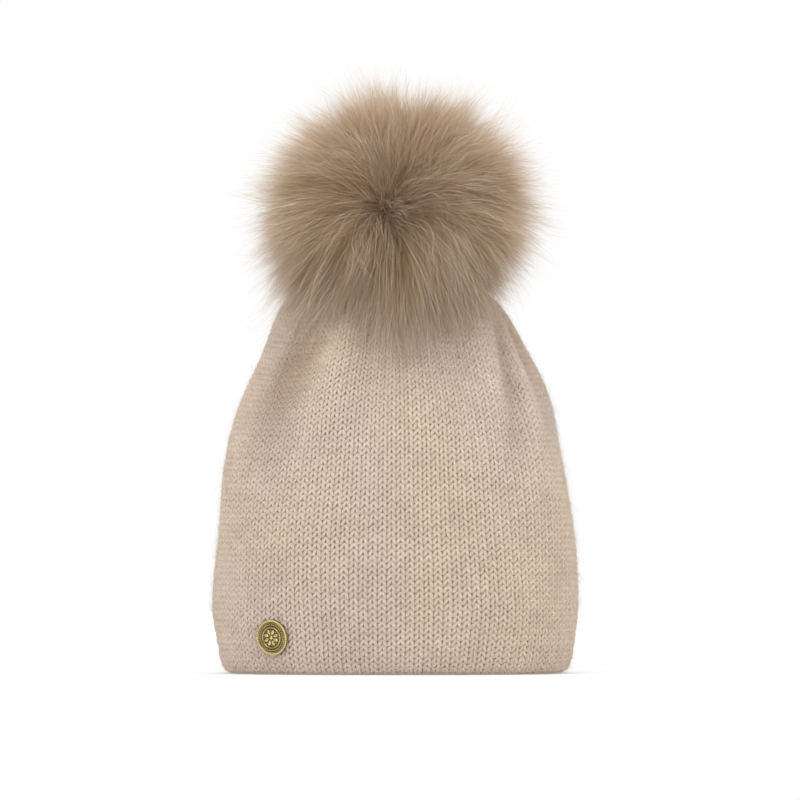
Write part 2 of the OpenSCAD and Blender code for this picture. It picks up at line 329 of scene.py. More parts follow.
def on_hat(turn, along, out):
    """Points on the hat's cloth, out from its outer surface, and the normals there."""
    turn = np.asarray(turn, float) % 1
    along = np.clip(np.asarray(along, float), 0, CLOTH_L)
    out = np.asarray(out, float)
    width = np.interp(along, ALONG, SECTION[:, 0])
    inset = np.interp(along, ALONG, SECTION[:, 1])
    z = np.interp(along, ALONG, SECTION[:, 2])
    facing_out = np.interp(along, ALONG, SECTION_TANGENT[:, 1])
    facing_up = -np.interp(along, ALONG, SECTION_TANGENT[:, 0])
    share_x = np.interp(turn, TURNS, SHARE_X)
    share_y = np.interp(turn, TURNS, SHARE_Y)
    push, lift = soft_shape(turn, z)
    push = push * np.clip((CLOTH_L - along) / (34 * MM), 0, 1) ** 1.5
    half_x = width - inset + out * facing_out + push * np.abs(facing_out)
    half_y = DEPTH_SHARE * width - inset + out * facing_out + push * np.abs(facing_out)
    height = z + out * facing_up + push * np.clip(facing_up, 0, 1) + lift
    points = np.stack([half_x * share_x, half_y * share_y, height], axis=-1)
    flat_x = np.sign(share_x) * np.abs(share_x) ** (SQUARENESS - 1)
    flat_y = np.sign(share_y) * np.abs(share_y) ** (SQUARENESS - 1) / DEPTH_SHARE
    length = np.hypot(flat_x, flat_y)
    normals = np.stack([flat_x / length * facing_out, flat_y / length * facing_out, facing_up], axis=-1)
    return points, unit(normals)


# ---- Material helpers ----

class Graph:
    """A node tree with the few links that materials and the world repeat."""

    def __init__(self, tree):
        self.nodes = tree.nodes
        self.links = tree.links

    def node(self, kind, **settings):
        made = self.nodes.new("ShaderNode" + kind)
        for name, value in settings.items():
            setattr(made, name, value)
        return made

    def put(self, socket, value):
        """Links or sets a socket."""
        if isinstance(value, bpy.types.NodeSocket):
            self.links.new(value, socket)
        else:
            socket.default_value = value

    def math(self, operation, a, b=0.0):
        made = self.node("Math", operation=operation)
        for socket, value in zip(made.inputs, (a, b)):
            self.put(socket, value)
        return made.outputs[0]

    def span(self, value, start, end, low, high):
        """A value between two limits, carried over to two others."""
        made = self.node("MapRange")
        for name, limit in (("From Min", start), ("From Max", end), ("To Min", low), ("To Max", high)):
            made.inputs[name].default_value = limit
        self.links.new(value, made.inputs["Value"])
        return made.outputs["Result"]


class Shader(Graph):
    """A Principled material with procedural colour, polish and relief."""

    def __init__(self, name, colour, roughness, **sockets):
        self.material = bpy.data.materials.new(name)
        self.material.use_nodes = True
        self.material.diffuse_color = colour
        super().__init__(self.material.node_tree)
        self.surface = self.nodes["Principled BSDF"]
        self.surface.inputs["Base Color"].default_value = colour
        self.surface.inputs["Roughness"].default_value = roughness
        for socket, value in sockets.items():
            self.surface.inputs[socket.replace("_", " ")].default_value = value

    def place(self):
        return self.node("TexCoord").outputs["Object"]

    def noise(self, scale, detail=3.0, roughness=0.5, vector=None, stretch=None):
        """Noise with features of about 1/scale metres, in the object's own space."""
        texture = self.node("TexNoise")
        texture.inputs["Scale"].default_value = scale
        texture.inputs["Detail"].default_value = detail
        texture.inputs["Roughness"].default_value = roughness
        source = vector or self.place()
        if stretch:
            mapping = self.node("Mapping")
            mapping.inputs["Scale"].default_value = stretch
            self.links.new(source, mapping.inputs["Vector"])
            source = mapping.outputs["Vector"]
        self.links.new(source, texture.inputs["Vector"])
        return texture.outputs["Fac"]

    def ramp(self, value, stops):
        """Colours or greys between stops of (position, colour)."""
        ramp = self.node("ValToRGB")
        elements = ramp.color_ramp.elements
        while len(elements) < len(stops):
            elements.new(0.5)
        for element, (position, colour) in zip(elements, stops):
            element.position = position
            element.color = colour
        self.links.new(value, ramp.inputs["Fac"])
        return ramp.outputs["Color"]

    def mix(self, factor, a, b, blend="MIX"):
        mixer = self.node("Mix", data_type="RGBA", blend_type=blend)
        for number, value in ((0, factor), (6, a), (7, b)):
            self.put(mixer.inputs[number], value)
        return mixer.outputs[2]

    def colour(self, socket):
        self.links.new(socket, self.surface.inputs["Base Color"])

    def roughness(self, value, low, high):
        self.links.new(self.span(value, 0, 1, low, high), self.surface.inputs["Roughness"])

    def bump(self, height, distance):
        """Adds relief of about the given depth in metres, on top of any before it."""
        bump = self.node("Bump")
        bump.inputs["Strength"].default_value = 1.0
        bump.inputs["Distance"].default_value = distance
        self.links.new(height, bump.inputs["Height"])
        normal = self.surface.inputs["Normal"]
        if normal.is_linked:
            self.links.new(normal.links[0].from_socket, bump.inputs["Normal"])
        self.links.new(bump.outputs["Normal"], normal)

    def tint(self):
        """The colour that the mesh itself carries."""
        return self.node("VertexColor", layer_name="tint").outputs["Color"]

    def along_and_round(self):
        """The fabric map's two coordinates."""
        uv = self.node("UVMap", uv_map="Fabric")
        split = self.node("SeparateXYZ")
        self.links.new(uv.outputs["UV"], split.inputs["Vector"])
        return split.outputs["X"], split.outputs["Y"]


def yarn_material():
    """Soft two-ply angora yarn: mottled cream with painted shade from the mesh's tint, with the twist of
    its plies and stray fibres.
    """
    s = Shader("angora_yarn", CREAM, 0.9, Sheen_Weight=0.06, Sheen_Roughness=0.5)
    s.surface.inputs["Sheen Tint"].default_value = CREAM_PALE
    warm = s.noise(17, 2, 0.5, stretch=(1, 1, 0.55))
    mottle = s.noise(48, 4, 0.6)
    fibres = s.noise(900, 2, 0.6)
    hue = s.ramp(warm, [(0.36, srgb(222, 206, 192)), (0.64, srgb(227, 209, 188))])
    shade = s.ramp(mottle, [(0.3, (0.90, 0.89, 0.89, 1)), (0.65, WHITE)])
    tufts = s.ramp(fibres, [(0.35, srgb(214, 202, 192)), (0.6, WHITE)])
    # The mesh's tint multiplies in the painted shade of the pleats and the hem.
    wear_and_painted_shade = s.mix(1.0, s.mix(1.0, hue, shade, "MULTIPLY"), s.tint(), "MULTIPLY")
    s.colour(s.mix(0.35, wear_and_painted_shade, tufts, "MULTIPLY"))
    length, turn = s.along_and_round()
    twist = s.math("ADD", s.math("MULTIPLY", length, 1 / (4.2 * MM)), s.math("MULTIPLY", turn, 2))
    hairs = s.node("CombineXYZ")
    s.links.new(s.math("MULTIPLY", twist, 8), hairs.inputs["X"])
    s.links.new(s.math("MULTIPLY", length, 500), hairs.inputs["Y"])
    s.bump(s.math("SINE", s.math("MULTIPLY", twist, 2 * math.pi)), 0.2 * MM)
    s.bump(s.noise(1.0, 3, 0.6, vector=hairs.outputs["Vector"]), 0.3 * MM)
    s.bump(fibres, 0.25 * MM)
    return s.material


def backing_material():
    """The shaded inner side of the loops, seen only between the stitches."""
    s = Shader("knit_backing", CREAM, 0.95, Sheen_Weight=0.2)
    mottle = s.noise(60, 4, 0.6)
    s.colour(s.ramp(mottle, [(0.3, srgb(214, 193, 174)), (0.7, srgb(230, 212, 194))]))
    s.bump(s.noise(700, 3), 0.4 * MM)
    return s.material


def jersey_material(name, pale, dark, wale, course):
    """Fine knit drawn from the fabric map: rows of small V stitches, brushed soft, with painted shade
    between them.
    """
    s = Shader(name, pale, 0.92, Sheen_Weight=0.3)
    round_it, along = s.along_and_round()
    column = s.math("MULTIPLY", round_it, 2 * math.pi / wale)
    slant = s.math("MULTIPLY", s.math("ABSOLUTE", s.math("SINE", s.math("MULTIPLY", column, 0.5))), 1.6)
    legs = s.math("SINE", s.math("ADD", s.math("MULTIPLY", along, 2 * math.pi / course), slant))
    ribs = s.math("ABSOLUTE", s.math("SINE", column))
    height = s.math("ADD", s.math("MULTIPLY", legs, 0.5), ribs)
    fibres = s.noise(1100, 3)
    # Painted shade: the colour is darker where the stitch relief is low, between the stitches, and paler on
    # their tops.
    shade = s.mix(s.ramp(height, [(0.1, BLACK), (1.0, WHITE)]), dark, pale)
    s.colour(s.mix(0.35, shade, s.ramp(s.noise(45, 4), [(0.3, dark), (0.7, WHITE)]), "MULTIPLY"))
    s.bump(height, 0.35 * MM)
    s.bump(fibres, 0.2 * MM)
    return s.material


def strand_material(name, colour, roughness, sheen, streak):
    """Fibres whose colour runs from root to tip in the mesh's tint, with slight streaks."""
    s = Shader(name, colour, roughness, Sheen_Weight=sheen, Specular_IOR_Level=0.35)
    streaks = s.ramp(s.noise(160, 3, 0.6), [(0.3, (streak, streak, streak, 1)), (0.7, WHITE)])
    s.colour(s.mix(1.0, s.tint(), streaks, "MULTIPLY"))
    return s.material


def metal_material(name, bright, dark, roughness, scratch):
    """Plated metal: tarnish gathered in patches, fine scratches and uneven polish."""
    s = Shader(name, bright, roughness, Metallic=1.0)
    patches = s.noise(420, 4, 0.6)
    s.colour(s.ramp(patches, [(0.32, dark), (0.52, bright)]))
    s.roughness(s.noise(900, 3), roughness * 0.7, roughness * 1.5)
    s.bump(s.noise(2500, 2, stretch=(1, 1, 0.15)), scratch)
    return s.material


def gold_material():
    """Polished gold plate: a painted highlight on the relief and painted shade, olive, in the hollows, from
    the mesh's tint.
    """
    s = Shader("gold_plate", GOLD, 0.14, Metallic=1.0)
    wear_and_painted_shade = s.noise(700, 3)
    relief = s.mix(s.tint(), GOLD_DARK, GOLD)
    s.colour(s.mix(s.ramp(wear_and_painted_shade, [(0.3, (0.25, 0.25, 0.25, 1)), (0.6, BLACK)]), relief, srgb(168, 142, 84)))
    s.roughness(wear_and_painted_shade, 0.07, 0.18)
    s.bump(s.noise(1800, 3), 0.03 * MM)
    return s.material


def leather_material(name, colour, dark):
    """Suede: a short nap with cloudy shading and pores."""
    s = Shader(name, colour, 0.85, Sheen_Weight=0.4)
    s.colour(s.mix(s.noise(90, 5, 0.65), dark, colour))
    pores = s.node("TexVoronoi")
    pores.inputs["Scale"].default_value = 900
    s.links.new(s.place(), pores.inputs["Vector"])
    s.bump(pores.outputs["Distance"], 0.25 * MM)
    s.bump(s.noise(1600, 3), 0.1 * MM)
    return s.material


def thread_material():
    """Twisted sewing thread: slanting plies and a slight gloss."""
    s = Shader("sewing_thread", srgb(214, 194, 172), 0.6, Sheen_Weight=0.2)
    wave = s.node("TexWave", wave_type="BANDS", bands_direction="DIAGONAL")
    wave.inputs["Scale"].default_value = 500
    wave.inputs["Distortion"].default_value = 1.5
    s.links.new(s.place(), wave.inputs["Vector"])
    s.colour(s.mix(wave.outputs["Fac"], srgb(178, 156, 134), srgb(226, 208, 188)))
    s.bump(wave.outputs["Fac"], 0.1 * MM)
    return s.material


def felt_material():
    """Pressed felt: matted fibres in several directions."""
    s = Shader("pressed_felt", srgb(190, 170, 148), 0.95, Sheen_Weight=0.4)
    mat = s.noise(650, 5, 0.7, stretch=(1, 2.5, 1))
    s.colour(s.ramp(mat, [(0.3, srgb(156, 136, 114)), (0.7, srgb(206, 188, 168))]))
    s.bump(mat, 0.3 * MM)
    return s.material


def label_material(name, pale, dark, roughness, warp, weft):
    """Woven tape drawn from the fabric map: warp and weft threads that cross."""
    s = Shader(name, pale, roughness, Sheen_Weight=0.25)
    across, along = s.along_and_round()
    threads = s.math("MULTIPLY",
                     s.math("SINE", s.math("MULTIPLY", across, 2 * math.pi / warp)),
                     s.math("SINE", s.math("MULTIPLY", along, 2 * math.pi / weft)))
    s.colour(s.mix(s.ramp(threads, [(0.0, BLACK), (0.7, WHITE)]), dark, pale))
    s.bump(threads, 0.08 * MM)
    s.bump(s.noise(60, 2), 0.4 * MM)
    return s.material


def floor_material():
    """Pale ground that glows, more strongly away from the hat, so that it fades into the white backdrop and
    the hat's shadow on it stays pale.
    """
    s = Shader("pale_floor", (0.76, 0.76, 0.76, 1), 0.9, Emission_Color=WHITE)
    s.colour(s.ramp(s.noise(3, 2), [(0.3, (0.75, 0.75, 0.75, 1)), (0.7, (0.77, 0.77, 0.77, 1))]))
    distance = s.node("VectorMath", operation="LENGTH")
    s.links.new(s.place(), distance.inputs[0])
    # The floor glows though it is no lamp: painted light that brightens it and the shade under the hat.
    glow = s.span(distance.outputs["Value"], 0.3, 1.5, 0.28, 0.6)
    s.links.new(glow, s.surface.inputs["Emission Strength"])
    return s.material


# ---- Knit ----

def course(index, rng):
    """One round of loops: the yarn's middle line, the cloth's normals, the yarn's radii and its colours,
    with painted shade in the pleats and towards the hem.
    """
    samples = 12
    along = COURSE_H * (index + 0.5)
    ring_w = ROUND_PER_HALF * np.interp(along, ALONG, SECTION[:, 0] - SECTION[:, 1])
    wales = int(max(8, min(WALES, ring_w / (0.58 * WALE_W))))
    narrow = min(1.0, ring_w / wales / WALE_W)
    height = np.interp(along, ALONG, SECTION[:, 2])
    t = np.arange(wales * samples) * 2 * math.pi / samples
    loop = t / (2 * math.pi)

    def wander(amount):
        values = rng.normal(0, amount, wales)
        return np.interp(loop, np.arange(wales + 1), np.append(values, values[0]))

    turn = (loop + 0.27 * np.sin(2 * t) + wander(0.02)) / wales
    up = along + 0.85 * COURSE_H * np.cos(t) + wander(0.12 * MM)
    depth = LEG_DEPTH * (0.6 + 0.4 * narrow)
    out = -1.6 * MM - depth * np.cos(2 * t) + wander(0.08 * MM)
    plump = 0.86 - 0.16 * np.cos(2 * t)
    radius = YARN_R * plump * (0.72 + 0.28 * narrow) * (1 + wander(0.05))
    centres, normals = on_hat(turn, up, out)
    # Painted shade: the yarn is darkened and browned in the deep pleats, and a little darker towards the
    # hem.
    painted_crease_shade = np.clip(-creases(turn, height) / (5.5 * MM), 0, 1)
    low = np.clip(1 - height / (0.8 * HEM_H), 0, 1) ** 0.5
    return centres, normals, radius, opaque(1 - np.outer(painted_crease_shade, (0.30, 0.36, 0.43)) - 0.06 * low)


def knit_bands(material):
    """The whole knit as bands of courses, low enough in faces to store."""
    rng = np.random.default_rng(11)
    sides = 5
    courses = int((CLOTH_L - 9 * MM) / COURSE_H)
    bands, per_band = [], 12
    for start in range(0, courses, per_band):
        parts, maps, tints = [], [], []
        for index in range(start, min(start + per_band, courses)):
            centres, normals, radii, shade = course(index, rng)
            parts.append(tube(centres, normals, radii, sides))
            tints.append(np.repeat(shade, sides, axis=0))
            steps = np.linalg.norm(np.diff(centres, axis=0, append=centres[:1]), axis=1)
            length = np.cumsum(steps) - steps
            maps.append(np.stack([
                np.repeat(length, sides),
                np.tile(np.arange(sides) / sides, len(length)),
            ], axis=1))
        points, faces = joined(parts)
        name = f"knit_courses_{start // per_band + 1}"
        bands.append(mesh_piece(name, points, faces, material, "hat",
                                tint=np.concatenate(tints), uv=np.concatenate(maps)))
    return bands


def cloth_grid(out, first, last, columns, rows):
    """A grid over the hat's cloth between two distances along it, with its fabric map."""
    turn = np.arange(columns) / columns
    along = np.linspace(first, last, rows)
    turns, alongs = np.meshgrid(turn, along)
    points, _ = on_hat(turns, alongs, out)
    round_it = ROUND_PER_HALF * HALF_WIDTH
    uv = np.stack([turns * round_it, alongs], axis=-1)
    return points.reshape(-1, 3), grid_faces(rows, columns, True), uv.reshape(-1, 2)


def knit_backing(material, bands):
    """The cloth behind the loops, which closes the gaps between them."""
    points, faces, uv = cloth_grid(-1.85 * MM, 0, CLOTH_L, 240, 170)
    piece = mesh_piece("knit_cloth", points, faces, material, "hat", uv=uv)
    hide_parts("knit_shell")
    return piece


def knit_fuzz(part, material):
    """Half of the fine angora hairs that stand off the knit, mostly lying along it."""
    rng = np.random.default_rng(22 + part)
    count, steps = 24000, 5
    first, last = 6 * MM, CLOTH_L - 60 * MM
    turn = rng.random(count)
    along = first + (last - first) * rng.random(count)
    roots, normals = on_hat(turn, along, -0.6 * MM)
    drift = unit(rng.normal(size=(count, 3)))
    drift = unit(drift - normals * (drift * normals).sum(1, keepdims=True))
    turned = unit(np.cross(normals, drift))
    length = rng.gamma(4.0, 1.1, count)[:, None] * MM
    rise = rng.uniform(0.25, 0.9, count)[:, None]
    bend = rng.normal(0, 0.55, count)[:, None]
    t = np.linspace(0, 1, steps)[None, :, None]
    paths = (roots[:, None] + (drift * length)[:, None] * t
             + (turned * length * bend)[:, None] * t ** 2
             + (normals * length * rise)[:, None] * (1 - (1 - t) ** 2) * 0.55)
    paths[..., 2] = np.maximum(paths[..., 2], 0.3 * MM)
    half_width = 0.045 * MM * np.linspace(1, 0.4, steps)[None] * rng.uniform(0.7, 1.3, (count, 1))
    points, faces = ribbons(paths, half_width, unit(np.cross(drift, normals) + 0.6 * normals))
    shade = rng.uniform(0.8, 1.0, (count, 1, 1)) * np.array(CREAM[:3])
    tint = opaque(ribbon_values(np.repeat(shade, steps, axis=1)))
    return mesh_piece(f"knit_fuzz_{part}", points, faces, material, "hat", tint=tint)


def lining(material):
    """The inner layer, from inside the hem up to the crown."""
    outer_side = ALONG[SECTION[:, 1] <= 0][0]
    points, faces, uv = cloth_grid(-4.6 * MM, outer_side + 4 * MM, CLOTH_L - 4 * MM, 200, 120)
    piece = mesh_piece("lining_cloth", points, faces[:, ::-1], material, "hat", uv=uv)
    thicken(piece, 1.4 * MM)
    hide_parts("knit_lining")
    return piece


# ---- Fur ----

def crown_distance():
    """A grid over half-width and height of the distance outside the hat, and its slopes."""
    widths = np.linspace(0, 1.3 * HALF_WIDTH, 139)
    heights = np.linspace(0.5 * CROWN_Z, 1.2 * CROWN_Z, 165)
    grid_w, grid_z = np.meshgrid(widths, heights, indexing="ij")
    outside = SECTION[SECTION[:, 2] > 0.3 * CROWN_Z]
    line = np.concatenate([outside[:, [0, 2]], [[0, CROWN_Z]]])
    best = np.full(grid_w.shape, np.inf)
    for a, b in zip(line[:-1], line[1:]):
        run = b - a
        t = np.clip(((grid_w - a[0]) * run[0] + (grid_z - a[1]) * run[1]) / (run @ run), 0, 1)
        best = np.minimum(best, np.hypot(grid_w - a[0] - t * run[0], grid_z - a[1] - t * run[1]))
    width_there = np.interp(grid_z, outside[:, 2], outside[:, 0], right=0)
    inside = (grid_w < width_there) & (grid_z < CROWN_Z)
    distance = np.where(inside, -best, best)
    slopes = np.gradient(distance, widths, heights)
    return widths, heights, distance, slopes[0], slopes[1]


CROWN = crown_distance()


def clear_of_crown(points, room):
    """Points moved out along the hat's surface normal until they have that room."""
    widths, heights, distance, slope_w, slope_z = CROWN
    x, y, z = points.T
    power = SQUARENESS
    wide = (np.abs(x) ** power + np.abs(y / DEPTH_SHARE) ** power) ** (1 / power) + 1e-9
    i = np.clip((wide / widths[1]).astype(int), 0, len(widths) - 2)
    step = heights[1] - heights[0]
    j = np.clip(((z - heights[0]) / step).astype(int), 0, len(heights) - 2)
    fi = np.clip(wide / widths[1] - i, 0, 1)
    fj = np.clip((z - heights[0]) / step - j, 0, 1)

    def read(table):
        return ((table[i, j] * (1 - fi) + table[i + 1, j] * fi) * (1 - fj)
                + (table[i, j + 1] * (1 - fi) + table[i + 1, j + 1] * fi) * fj)

    along_x = np.sign(x) * (np.abs(x) / wide) ** (power - 1)
    along_y = np.sign(y) * (np.abs(y / DEPTH_SHARE) / wide) ** (power - 1)
    short = np.maximum(room - read(distance), 0)[:, None]
    out = np.stack([read(slope_w) * along_x, read(slope_w) * along_y, read(slope_z)], axis=1)
    return points + unit(out) * short


def ball_directions(count, rng, mouth_cos):
    """Even directions over a ball, without its mouth at the bottom."""
    i = np.arange(count) + 0.5
    z = 1 - (1 + mouth_cos) * i / count
    angle = math.pi * (1 + 5 ** 0.5) * i
    flat = np.sqrt(1 - z ** 2)
    directions = np.stack([flat * np.cos(angle), flat * np.sin(angle), z], axis=1)
    return unit(directions + rng.normal(0, 0.02, directions.shape))


PARTING = unit(np.array([-0.26, -1.0, 0.08]))


def lock_headings(roots, away, rng):
    """The directions in which locks leave the pelt, and the waves that part them into tufts."""
    comb = unit(roots - (roots @ PARTING)[:, None] * PARTING)
    comb_share = 0.55 * np.exp(-(away / 0.6) ** 2) + 0.42 * np.clip(1 - away / 1.9, 0, 1)
    comb_share *= np.clip(0.2 + 2.4 * away, 0, 1)
    swirl = unit(np.cross(np.broadcast_to(PARTING, roots.shape), roots))
    wild = rng.normal(0, 0.15, roots.shape) * (1 + 1.6 * np.exp(-(away / 0.35) ** 2))[:, None]
    heading = unit(roots + comb * comb_share[:, None] + swirl * 0.15 + wild)
    tufts = np.sin(roots @ rng.normal(0, 6, (3, 3)) + rng.uniform(0, 2 * math.pi, 3))
    return unit(heading + 0.13 * tufts), tufts[:, 0]


def lock_lengths(roots, away, low_front, tuft, rng):
    """Long where the fur lies over the front of the crown, short at its sides and in the parting."""
    middle = np.exp(-((roots[:, 0] + 0.08) / 0.50) ** 2)
    low_side = np.clip(-1.6 * roots[:, 2], 0, 1) * np.abs(roots[:, 0])
    length = (FUR_R - PELT_R) * rng.normal(1.0, 0.08, len(roots))
    length *= 0.78 + 0.22 * np.clip(away / 0.9, 0, 1)
    length *= 1 + (0.42 + 0.34 * middle) * low_front - 0.42 * low_side + 0.06 * tuft
    return length * (1 + 0.16 * np.abs(roots[:, 0]) - 0.07 * np.clip(roots[:, 1], 0, 1))


def guide_locks(count, steps, rng):
    """The middle lines of the fur's locks: combed away from the parting, then hanging."""
    roots = ball_directions(count, rng, 0.80)
    away = np.arccos(np.clip(roots @ PARTING, -1, 1))
    low_front = np.clip(0.35 - 1.3 * roots[:, 2], 0, 1) * np.clip(-1.5 * roots[:, 1], 0, 1)
    heading, tuft = lock_headings(roots, away, rng)
    length = lock_lengths(roots, away, low_front, tuft, rng)
    point = np.array(POM) + roots * PELT_R
    path = [point]
    bend = rng.normal(0, 0.06, roots.shape)
    for k in range(steps):
        reach = (k + 1) / steps
        droop = np.zeros_like(roots)
        droop[:, 2] = -0.042 * (0.4 + reach) * (1 + 2.6 * low_front)
        heading = unit(heading + droop + bend * reach)
        ahead = clear_of_crown(point + heading * (length / steps)[:, None], (2.5 + 5 * reach) * MM)
        heading = unit(ahead - point)
        point = ahead
        path.append(point)
    return roots, np.stack(path, axis=1)


def fur_strands(locks, count, steps, rng, length_range, spread, clump):
    """Hairs that follow their lock's line, close towards its tip and stray a little."""
    roots, lines = locks
    lock = rng.integers(0, len(roots), count)
    own_root = unit(roots[lock] + rng.normal(0, spread, (count, 3)))
    shift = (own_root - roots[lock]) * PELT_R
    reach = rng.uniform(*length_range, count)
    t = np.linspace(0, 1, steps)
    at = np.clip(t[None] * reach[:, None], 0, 1.18) * (lines.shape[1] - 1)
    low = np.clip(at.astype(int), 0, lines.shape[1] - 2)
    share = (at - low)[..., None]
    row = lock[:, None]
    line = lines[row, low] * (1 - share) + lines[row, low + 1] * share
    fan = 1 + 1.35 * t[None, :, None]
    hold = 1 - clump * t[None, :, None] ** 1.3
    stray = rng.normal(0, 1, (count, 1, 3)) * 1.5 * MM * t[None, :, None] ** 1.6
    wave_phase = rng.uniform(0, 2 * math.pi, (count, 1, 3))
    wave = np.sin(2.4 * math.pi * t[None, :, None] + wave_phase) * 0.55 * MM * t[None, :, None]
    paths = line + shift[:, None] * fan * hold + stray + wave
    clear = clear_of_crown(paths.reshape(-1, 3), 1.2 * MM)
    clear[:, 1] = np.clip(clear[:, 1], -HALF_DEPTH - 9 * MM, HALF_DEPTH + 9 * MM)
    return clear.reshape(paths.shape), t, own_root[:, 2]


def fur_tint(height, t, rng, root, middle, tip, spread):
    """Colour from root to tip for each hair, with painted light: lighter on top and darker below, and a
    lightness of its own.
    """
    mid_share = np.clip(t / 0.4, 0, 1)[None, :, None]
    tip_share = np.clip((t - 0.4) / 0.6, 0, 1)[None, :, None] ** 1.3
    colour = (root * (1 - mid_share) + middle * mid_share) * (1 - tip_share) + tip * tip_share
    # Painted light: hairs rooted high are lighter and those rooted low darker, as light falls from above.
    painted_top_light = 1 + np.where(height > 0, 0.12, 0.26) * height
    own = rng.normal(1, spread, len(height)).clip(0.55, 1.5) * painted_top_light
    return np.clip(colour * own[:, None, None], 0, 1)


def fur(material):
    """Dense underfur and longer guard hairs, in pieces small enough to store."""
    rng = np.random.default_rng(5)
    locks = guide_locks(2600, 12, rng)
    soft_tip = 0.8 * FUR_MID + 0.2 * FUR_TIP
    kinds = [
        # name, pieces, hairs each, points, lengths, root spread, clump, half-width, tints, spread
        ("underfur", 4, 20000, 6, (0.58, 1.04), 0.10, 0.12, 0.085, (FUR_ROOT, FUR_MID, soft_tip), 0.09),
        ("guard_hair", 2, 15000, 8, (0.80, 1.22), 0.09, 0.40, 0.066, (FUR_ROOT, FUR_MID, FUR_TIP), 0.12),
        ("pale_hair", 1, 5000, 12, (0.70, 1.16), 0.09, 0.05, 0.095, (FUR_MID, FUR_TIP, FUR_PALE), 0.08),
    ]
    pieces = []
    for name, number, hairs, steps, lengths, spread, clump, half, tints, lightness in kinds:
        for part in range(number):
            count = hairs
            paths, t, height = fur_strands(locks, count, steps, rng, lengths, spread, clump)
            taper = (1 - 0.75 * t ** 1.5)[None] * rng.uniform(0.7, 1.3, (count, 1))
            widths = 1.0 * half * MM * taper
            tangent = unit(paths[:, -1] - paths[:, 0])
            across = unit(np.cross(tangent, rng.normal(size=(count, 3))))
            points, faces = ribbons(paths, widths, across)
            tint = opaque(ribbon_values(fur_tint(height, t, rng, *tints, lightness)))
            pieces.append(mesh_piece(f"{name}_{part + 1}", points, faces, material, "pom", tint=tint))
    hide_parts("pom_fur")
    return pieces


def lumpy_ball(radius, rows, columns, lowest, lump, rng_seed):
    """A ball cut flat below, with soft lumps."""
    rng = np.random.default_rng(rng_seed)
    phases = rng.uniform(0, 2 * math.pi, 6)
    top_down = np.linspace(0.02, lowest, rows)
    angle = full_turn(columns)
    down, turned = np.meshgrid(top_down, angle, indexing="ij")
    bumps = (np.sin(3 * turned + phases[0]) * np.sin(4 * down + phases[1])
             + 0.6 * np.sin(7 * turned + phases[2]) * np.sin(6 * down + phases[3])
             + 0.4 * np.sin(11 * turned + phases[4]) * np.sin(9 * down + phases[5]))
    size = radius + lump * bumps
    points = np.stack([
        size * np.sin(down) * np.cos(turned),
        size * np.sin(down) * np.sin(turned),
        size * np.cos(down),
    ], axis=-1).reshape(-1, 3) + np.array(POM)
    return points, grid_faces(rows, columns, True)


def capped(points, faces, columns):
    """Closes a row-by-row ball at its top and bottom with fans to a middle point."""
    count = len(points)
    middles = [points[:columns].mean(0), points[-columns:].mean(0)]
    fans = [fan(columns, 0, count), fan(columns, count - columns, count + 1)[:, ::-1]]
    return np.concatenate([points, middles]), [faces] + fans


def pom_inside(fibre, leather):
    """The stuffing and the pelt round it."""
    mouth = math.pi - math.asin(14 * MM / PELT_R)
    fill_floor = math.pi - 0.62
    columns = 48
    points, faces = lumpy_ball(PELT_R - 2.4 * MM, 28, columns, fill_floor, 0.35 * MM, 3)
    points, faces = capped(points, faces, columns)
    stuffing = mesh_piece("stuffing", points, faces, fibre, "pom")
    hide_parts("pom_filling")
    points, faces = lumpy_ball(PELT_R - 0.6 * MM, 60, 96, mouth, 0.15 * MM, 4)
    pelt = mesh_piece("pelt_skin", points, faces, leather, "pom")
    thicken(pelt, 1.0 * MM)
    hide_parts("pom_pelt")


# ---- Badge ----

def badge_place():
    """The matrix from the badge's own frame, facing +Z, to the hat's front."""
    low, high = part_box("badge_bezel")
    middle = (low + high) / 2
    share = abs(middle.x) / HEM_HALF
    across_x = math.copysign(share ** (SQUARENESS - 1), middle.x)
    share_y = (1 - share ** SQUARENESS) ** (1 / SQUARENESS)
    across_y = math.copysign(share_y ** (SQUARENESS - 1), middle.y) / DEPTH_SHARE
    flat = Vector((across_x, across_y, 0)).normalized()
    facing = flat * math.cos(BADGE_LEAN) - Vector((0, 0, math.sin(BADGE_LEAN)))
    right = Vector((0, 0, 1)).cross(facing).normalized()
    turn = Matrix((right, facing.cross(right), facing)).transposed().to_4x4()
    thick = BEZEL_T * math.sin(BADGE_LEAN)
    return Matrix.Translation(middle) @ turn, (high.z - low.z - thick) / (2 * math.cos(BADGE_LEAN))


